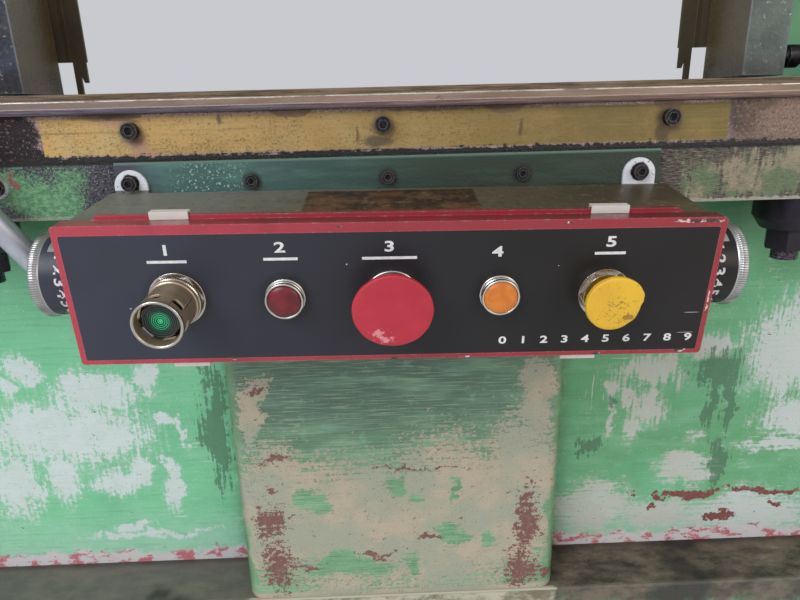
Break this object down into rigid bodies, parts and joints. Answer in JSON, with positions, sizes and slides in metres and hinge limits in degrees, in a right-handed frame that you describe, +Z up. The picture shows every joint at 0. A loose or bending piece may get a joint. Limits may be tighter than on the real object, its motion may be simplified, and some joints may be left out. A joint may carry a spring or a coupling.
{
  "type": "mechanical stamping press",
  "caption": "Straight-side mechanical stamping press with flywheel drive, bolster, light curtain posts and a push-button operator station on the bed front.",
  "frame": {"origin": "on the floor under the centre of the press", "axes": "+X to the right of someone standing at the operator station, +Y away from them to the back, +Z up"},
  "size_m": [1.79, 0.9226, 2.9399],
  "materials": {
    "green_paint": "worn gloss enamel over primer",
    "dark_green_paint": "oily gloss enamel",
    "black_steel": "black oxide, oily",
    "machined_steel": "ground, stained",
    "brown_steel": "worn, oily brown",
    "grey_iron": "machined casting",
    "bronze": "turned bronze",
    "yellow_paint": "safety yellow enamel",
    "motor_paint": "grey-blue enamel",
    "belt": "matt",
    "curtain_paint": "dark green, oily",
    "olive_paint": "olive brown, dirty",
    "black_plastic": "moulded",
    "grey_paint": "grey-black enamel",
    "zinc": "zinc plate",
    "red_paint": "crimson enamel, chipped",
    "panel_black": "printed overlay, satin",
    "nickel": "bronzed nickel, scuffed",
    "chrome": "plated, dull",
    "cast_aluminium": "cast and turned",
    "red_lens": "moulded lens",
    "amber_lens": "moulded lens",
    "green_lens": "moulded lens",
    "red_plastic": "moulded, scuffed",
    "yellow_plastic": "moulded, grimy",
    "grey_plastic": "moulded",
    "steel_tube": "galvanised"
  },
  "bodies": {
    "frame": {"bed": "green_paint", "bed_base": "green_paint", "levelling_feet": "black_steel", "upright_left": "green_paint", "upright_right": "green_paint", "crown": "green_paint", "tie_rods": "black_steel", "tie_rod_nuts": "black_steel", "bolster_plate": "machined_steel", "die_plate": "brown_steel", "hold_down_studs": "black_steel", "hold_down_nuts": "black_steel", "gibs": "machined_steel", "crown_cover": "green_paint", "screws": "black_steel", "crank_bushes": "bronze", "flywheel_carrier": "grey_iron", "flywheel_guard": "yellow_paint", "motor": "motor_paint", "drive_belt": "belt", "balance_cylinder_left": "grey_iron", "balance_cylinder_right": "grey_iron", "curtain_post_left": "curtain_paint", "curtain_post_right": "curtain_paint", "curtain_bracket_left": "olive_paint", "curtain_bracket_right": "olive_paint", "curtain_leads": "black_plastic", "junction_box": "grey_paint", "station_conduit": "steel_tube", "station_bracket": "dark_green_paint", "station_box": "grey_paint", "station_cover": "red_paint", "station_panel": "panel_black", "cover_clips": "zinc", "act_guard": "nickel", "act_nut": "nickel", "palm_light_bezel": "chrome", "palm_light_lens": "red_lens", "mute_light_bezel": "chrome", "mute_light_lens": "amber_lens", "stop_collar": "chrome", "top_stop_collar": "chrome", "ring_guard_left": "cast_aluminium", "ring_guard_right": "cast_aluminium", "ring_plates": "panel_black", "contact_blocks": "grey_plastic"},
    "act_button": {"act_button": "green_lens"},
    "stop_button": {"stop_button": "red_plastic"},
    "top_stop_button": {"top_stop_button": "yellow_plastic"},
    "palm_button_left": {"palm_button_left": "black_plastic"},
    "palm_button_right": {"palm_button_right": "black_plastic"},
    "slide": {"slide": "green_paint", "balance_rods": "steel_tube"},
    "crank": {"crankshaft": "machined_steel", "clutch_drum": "grey_iron"},
    "flywheel": {"flywheel": "grey_iron"},
    "motor_rotor": {"motor_shaft": "machined_steel", "motor_pulley": "grey_iron"},
    "pitman_left": {"pitman_left": "grey_iron"},
    "pitman_right": {"pitman_right": "grey_iron"}
  },
  "joints": [
    {"name": "slide_travel", "type": "slide", "parent": "frame", "child": "slide", "axis": [0, 0, 1], "range_m": [-0.05, 0]},
    {"name": "crank_turn", "type": "hinge", "parent": "frame", "child": "crank", "pos_m": [0, 0, 2.32], "axis": [1, 0, 0], "range_deg": [0, 180]},
    {"name": "pitman_left_swing", "type": "hinge", "parent": "crank", "child": "pitman_left", "pos_m": [-0.3, 0, 2.345], "axis": [1, 0, 0], "range_deg": [-180, 0]},
    {"name": "pitman_right_swing", "type": "hinge", "parent": "crank", "child": "pitman_right", "pos_m": [0.3, 0, 2.345], "axis": [1, 0, 0], "range_deg": [-180, 0]},
    {"name": "flywheel_spin", "type": "hinge", "parent": "frame", "child": "flywheel", "pos_m": [0.845, 0, 2.32], "axis": [1, 0, 0], "continuous": true},
    {"name": "motor_spin", "type": "hinge", "parent": "frame", "child": "motor_rotor", "pos_m": [0.8, 0, 2.815], "axis": [1, 0, 0], "continuous": true},
    {"name": "stop_push", "type": "slide", "parent": "frame", "child": "stop_button", "axis": [0.0016, 0.9942, 0.108], "range_m": [0, 0.005], "stiffness_N_per_m": 2500, "springref_m": -0.002},
    {"name": "top_stop_push", "type": "slide", "parent": "frame", "child": "top_stop_button", "axis": [0.0016, 0.9942, 0.108], "range_m": [0, 0.005], "stiffness_N_per_m": 1500, "springref_m": -0.002},
    {"name": "act_push", "type": "slide", "parent": "frame", "child": "act_button", "axis": [0.0016, 0.9942, 0.108], "range_m": [0, 0.004], "stiffness_N_per_m": 1200, "springref_m": -0.002},
    {"name": "palm_left_push", "type": "slide", "parent": "frame", "child": "palm_button_left", "axis": [0.9999, 0, -0.0148], "range_m": [0, 0.004], "stiffness_N_per_m": 1500, "springref_m": -0.002},
    {"name": "palm_right_push", "type": "slide", "parent": "frame", "child": "palm_button_right", "axis": [-0.9999, 0, 0.0148], "range_m": [0, 0.004], "stiffness_N_per_m": 1500, "springref_m": -0.002}
  ],
  "couplings": [
    {"joint": "crank_turn", "follows": "slide_travel", "rad_per_m": -62.83},
    {"joint": "pitman_left_swing", "follows": "slide_travel", "rad_per_m": 62.83},
    {"joint": "pitman_right_swing", "follows": "slide_travel", "rad_per_m": 62.83},
    {"joint": "motor_spin", "follows": "flywheel_spin", "ratio": 5}
  ]
}
